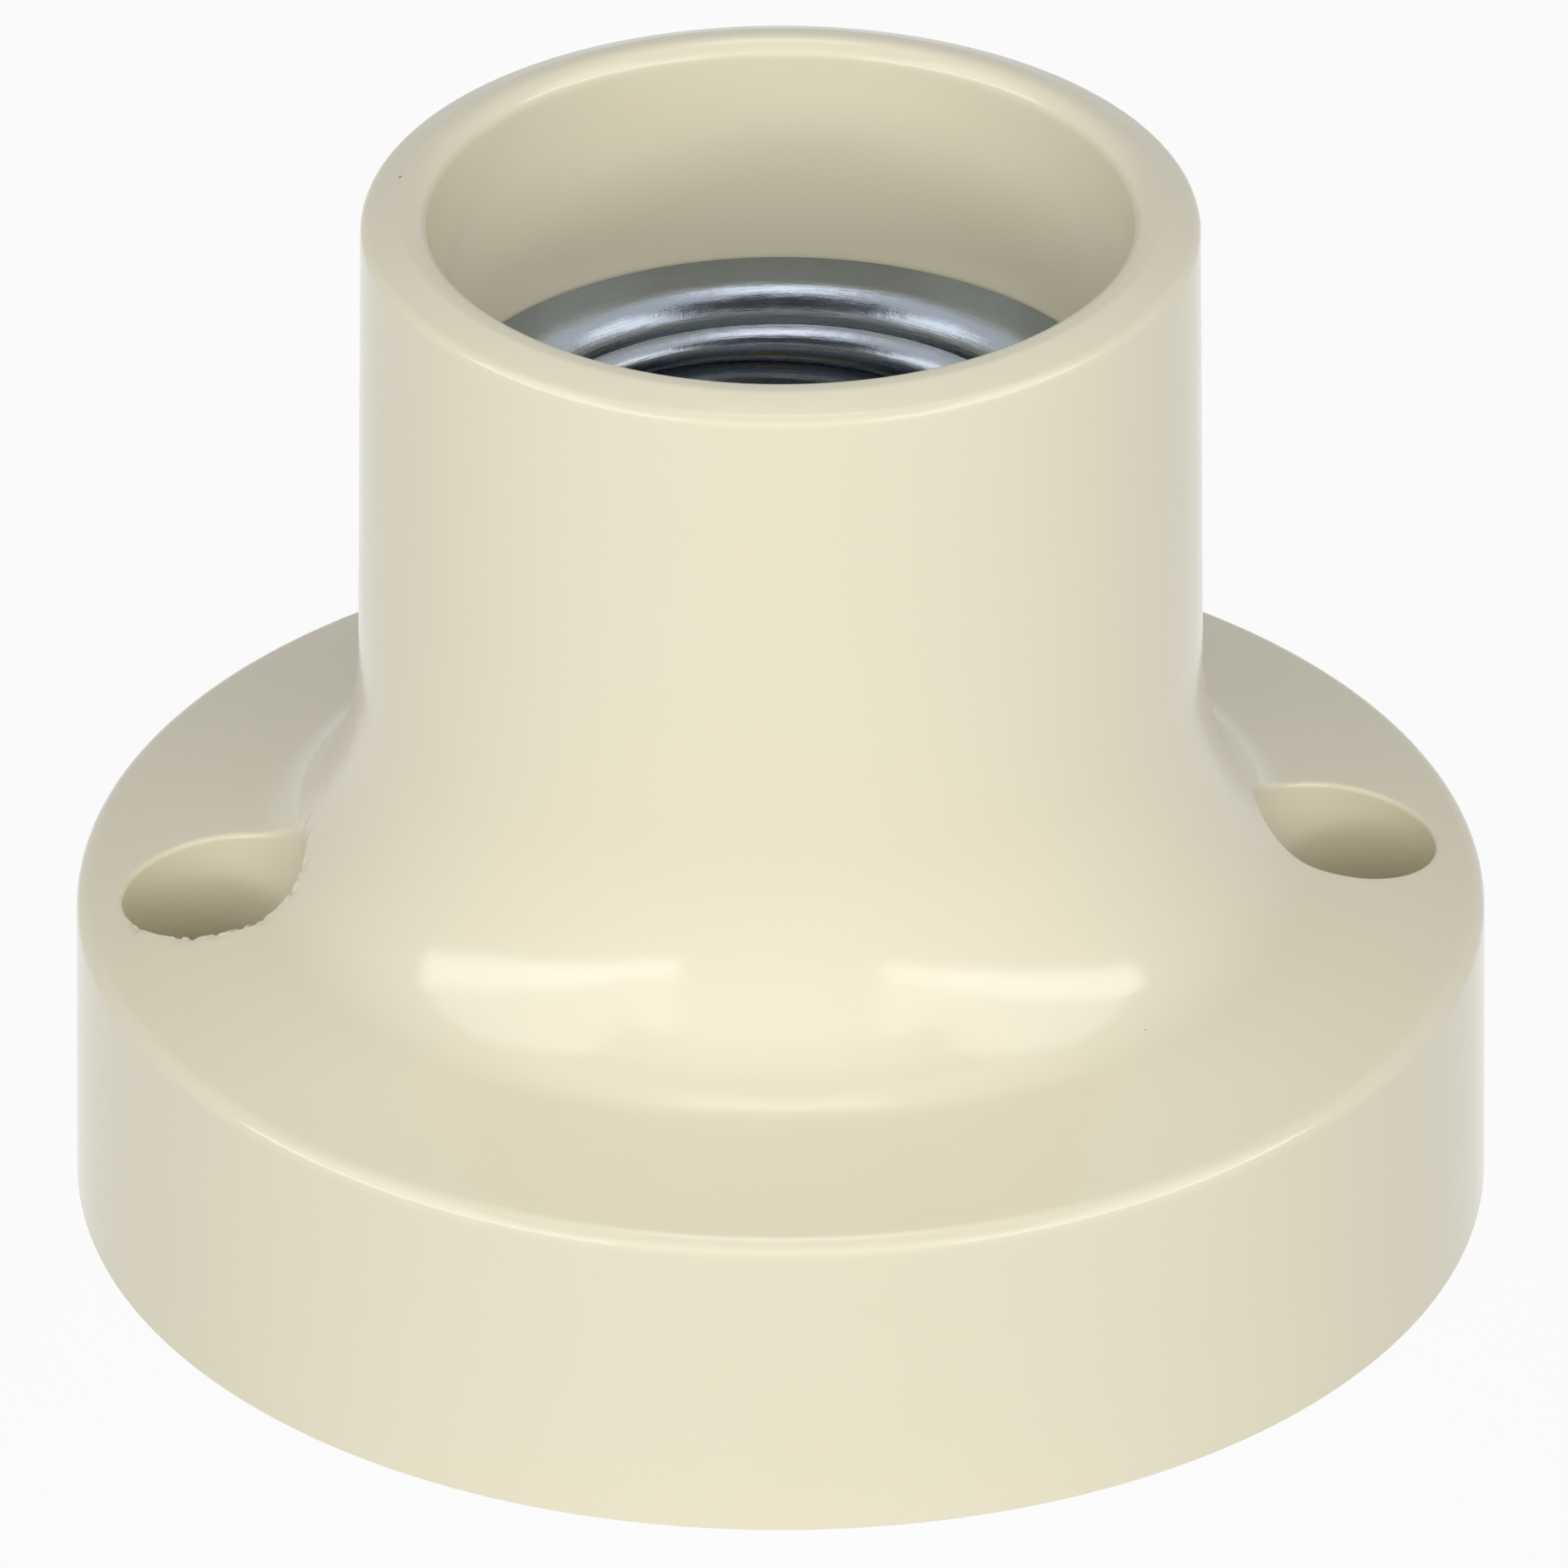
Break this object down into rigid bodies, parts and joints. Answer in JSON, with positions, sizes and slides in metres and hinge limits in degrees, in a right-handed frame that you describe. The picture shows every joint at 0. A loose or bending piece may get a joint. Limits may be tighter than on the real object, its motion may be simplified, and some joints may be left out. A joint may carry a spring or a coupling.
{
  "type": "surface lamp holder",
  "caption": "Round surface-mounted lamp holder with a flared moulded body, a threaded metal shell in its mouth and two counterbored fixing holes.",
  "frame": {"origin": "centre of the rear face", "axes": "+Z along the lamp axis, out of the mouth; +X along the line of the fixing holes, +Y towards the neutral terminal"},
  "size_m": [0.07, 0.07, 0.0534],
  "materials": {
    "moulding": "glossy ivory thermoset moulding",
    "shell_metal": "bright rolled sheet",
    "bronze": "phosphor bronze spring strip",
    "brass": "plain stamped brass",
    "plated_steel": "zinc plated steel"
  },
  "bodies": {
    "housing": {"body": "moulding", "screw_shell": "shell_metal", "contact_rivet": "brass", "shell_rivet_neutral": "brass", "shell_rivet_left": "brass", "shell_rivet_right": "brass", "rivet_washer_left": "brass", "rivet_washer_right": "brass", "live_terminal": "brass", "neutral_terminal": "brass"},
    "contact_leaf": {"centre_contact": "bronze"},
    "live_clamp": {"live_clamp_washer": "plated_steel"},
    "live_screw": {"live_terminal_screw": "plated_steel"},
    "neutral_clamp": {"neutral_clamp_washer": "plated_steel"},
    "neutral_screw": {"neutral_terminal_screw": "plated_steel"}
  },
  "joints": [
    {"name": "contact_press", "type": "slide", "parent": "housing", "child": "contact_leaf", "axis": [0, 0, -1], "range_m": [0, 0.0018], "stiffness_N_per_m": 1500, "deforming": ["centre_contact"]},
    {"name": "live_clamp_lift", "type": "slide", "parent": "housing", "child": "live_clamp", "axis": [0, 0, -1], "range_m": [0, 0.0024]},
    {"name": "live_screw_turn", "type": "hinge", "parent": "live_clamp", "child": "live_screw", "pos_m": [0, -0.0195, 0.01], "axis": [0, 0, -1], "range_deg": [0, 1440]},
    {"name": "neutral_clamp_lift", "type": "slide", "parent": "housing", "child": "neutral_clamp", "axis": [0, 0, -1], "range_m": [0, 0.0024]},
    {"name": "neutral_screw_turn", "type": "hinge", "parent": "neutral_clamp", "child": "neutral_screw", "pos_m": [0, 0.0195, 0.01], "axis": [0, 0, -1], "range_deg": [0, 1440]}
  ],
  "couplings": [
    {"joint": "live_screw_turn", "follows": "live_clamp_lift", "rad_per_m": 10472},
    {"joint": "neutral_screw_turn", "follows": "neutral_clamp_lift", "rad_per_m": 10472}
  ]
}
